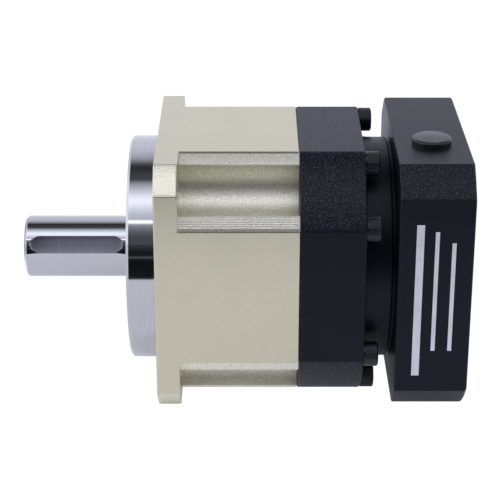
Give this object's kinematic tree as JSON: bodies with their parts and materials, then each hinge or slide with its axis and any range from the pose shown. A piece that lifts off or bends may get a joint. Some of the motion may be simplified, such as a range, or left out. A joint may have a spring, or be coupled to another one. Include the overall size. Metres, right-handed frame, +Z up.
{
  "type": "planetary gearbox",
  "caption": "Inline planetary servo gearbox with a square flange, round pilot, keyed output shaft and a square motor adapter with a clamping hub.",
  "frame": {"origin": "centre of the flange hole circle on the front mounting face, on the gearbox axis", "axes": "+X along the gearbox axis from the output side to the motor side, so the output shaft points to -X; +Z up, through the access plug side; the gearbox lies on its lower flat faces"},
  "size_m": [0.1556, 0.09, 0.0924],
  "materials": {
    "champagne_nickel": "satin champagne nickel plating, fine blasted grain",
    "turned_steel": "bright turned steel with circumferential tool marks",
    "ground_steel": "fine ground steel",
    "gear_steel": "hardened and ground gear steel, thin oil film",
    "bearing_steel": "polished bearing steel",
    "cage_brass": "machined brass",
    "bronze": "rolled bronze",
    "spring_steel": "phosphated spring steel",
    "collar_steel": "blackened steel collar",
    "seal_rubber": "moulded nitrile rubber",
    "black_anodised": "black anodised aluminium, fine blasted grain",
    "black_oxide_screw": "black oxide high tensile screw",
    "black_plastic": "moulded black plastic, satin"
  },
  "bodies": {
    "housing": {"gear_housing": "champagne_nickel", "output_cover": "turned_steel", "output_oil_seal": "seal_rubber", "ring_gear": "gear_steel", "front_bearing_outer": "bearing_steel", "rear_bearing_outer": "bearing_steel", "input_bearing_outer": "bearing_steel", "input_bearing_circlip": "spring_steel", "input_oil_seal": "seal_rubber", "input_housing": "black_anodised", "housing_o_ring": "seal_rubber", "housing_bolts": "black_oxide_screw", "motor_adapter": "black_anodised", "adapter_bolts": "black_oxide_screw"},
    "output_shaft": {"output_carrier": "ground_steel", "planet_pins": "bearing_steel", "planet_washers": "bronze", "front_bearing_inner": "bearing_steel", "rear_bearing_inner": "bearing_steel"},
    "planet_1": {"planet_gear_1": "gear_steel"},
    "planet_2": {"planet_gear_2": "gear_steel"},
    "planet_3": {"planet_gear_3": "gear_steel"},
    "needles_1": {"planet_needles_1": "bearing_steel"},
    "needles_2": {"planet_needles_2": "bearing_steel"},
    "needles_3": {"planet_needles_3": "bearing_steel"},
    "front_balls": {"front_bearing_balls": "bearing_steel", "front_bearing_cage": "cage_brass"},
    "rear_balls": {"rear_bearing_balls": "bearing_steel", "rear_bearing_cage": "cage_brass"},
    "input_balls": {"input_bearing_balls": "bearing_steel", "input_bearing_cage": "cage_brass"},
    "input_shaft": {"input_hub": "ground_steel", "sun_gear": "gear_steel", "hub_circlip": "spring_steel", "input_bearing_inner": "bearing_steel", "clamp_collar": "collar_steel"},
    "clamp_screw": {"clamp_screw": "black_oxide_screw"},
    "plug": {"access_plug": "black_plastic"}
  },
  "joints": [
    {"name": "output_spin", "type": "hinge", "parent": "housing", "child": "output_shaft", "pos_m": [0, 0, 0], "axis": [1, 0, 0], "continuous": true},
    {"name": "planet_1_spin", "type": "hinge", "parent": "output_shaft", "child": "planet_1", "pos_m": [0, 0, 0.02025], "axis": [1, 0, 0], "continuous": true},
    {"name": "planet_2_spin", "type": "hinge", "parent": "output_shaft", "child": "planet_2", "pos_m": [0, -0.01754, -0.01013], "axis": [1, 0, 0], "continuous": true},
    {"name": "planet_3_spin", "type": "hinge", "parent": "output_shaft", "child": "planet_3", "pos_m": [0, 0.01754, -0.01013], "axis": [1, 0, 0], "continuous": true},
    {"name": "needles_1_orbit", "type": "hinge", "parent": "output_shaft", "child": "needles_1", "pos_m": [0, 0, 0.02025], "axis": [1, 0, 0], "continuous": true},
    {"name": "needles_2_orbit", "type": "hinge", "parent": "output_shaft", "child": "needles_2", "pos_m": [0, -0.01754, -0.01013], "axis": [1, 0, 0], "continuous": true},
    {"name": "needles_3_orbit", "type": "hinge", "parent": "output_shaft", "child": "needles_3", "pos_m": [0, 0.01754, -0.01013], "axis": [1, 0, 0], "continuous": true},
    {"name": "front_balls_orbit", "type": "hinge", "parent": "housing", "child": "front_balls", "pos_m": [0, 0, 0], "axis": [1, 0, 0], "continuous": true},
    {"name": "rear_balls_orbit", "type": "hinge", "parent": "housing", "child": "rear_balls", "pos_m": [0, 0, 0], "axis": [1, 0, 0], "continuous": true},
    {"name": "input_balls_orbit", "type": "hinge", "parent": "housing", "child": "input_balls", "pos_m": [0, 0, 0], "axis": [1, 0, 0], "continuous": true},
    {"name": "input_spin", "type": "hinge", "parent": "housing", "child": "input_shaft", "pos_m": [0, 0, 0], "axis": [1, 0, 0], "continuous": true},
    {"name": "clamp_screw_turn", "type": "hinge", "parent": "input_shaft", "child": "clamp_screw", "pos_m": [0.0946, -0.015, 0], "axis": [0, 0, 1], "range_deg": [0, 360]},
    {"name": "plug_lift", "type": "slide", "parent": "housing", "child": "plug", "axis": [0, 0, 1], "range_m": [0, 0.02]}
  ],
  "couplings": [
    {"joint": "planet_1_spin", "follows": "output_spin", "ratio": -2.6667},
    {"joint": "planet_2_spin", "follows": "output_spin", "ratio": -2.6667},
    {"joint": "planet_3_spin", "follows": "output_spin", "ratio": -2.6667},
    {"joint": "needles_1_orbit", "follows": "output_spin", "ratio": -1.697},
    {"joint": "needles_2_orbit", "follows": "output_spin", "ratio": -1.697},
    {"joint": "needles_3_orbit", "follows": "output_spin", "ratio": -1.697},
    {"joint": "front_balls_orbit", "follows": "output_spin", "ratio": 0.42593},
    {"joint": "rear_balls_orbit", "follows": "output_spin", "ratio": 0.46063},
    {"joint": "input_balls_orbit", "follows": "output_spin", "ratio": 2.1818},
    {"joint": "input_spin", "follows": "output_spin", "ratio": 5}
  ]
}
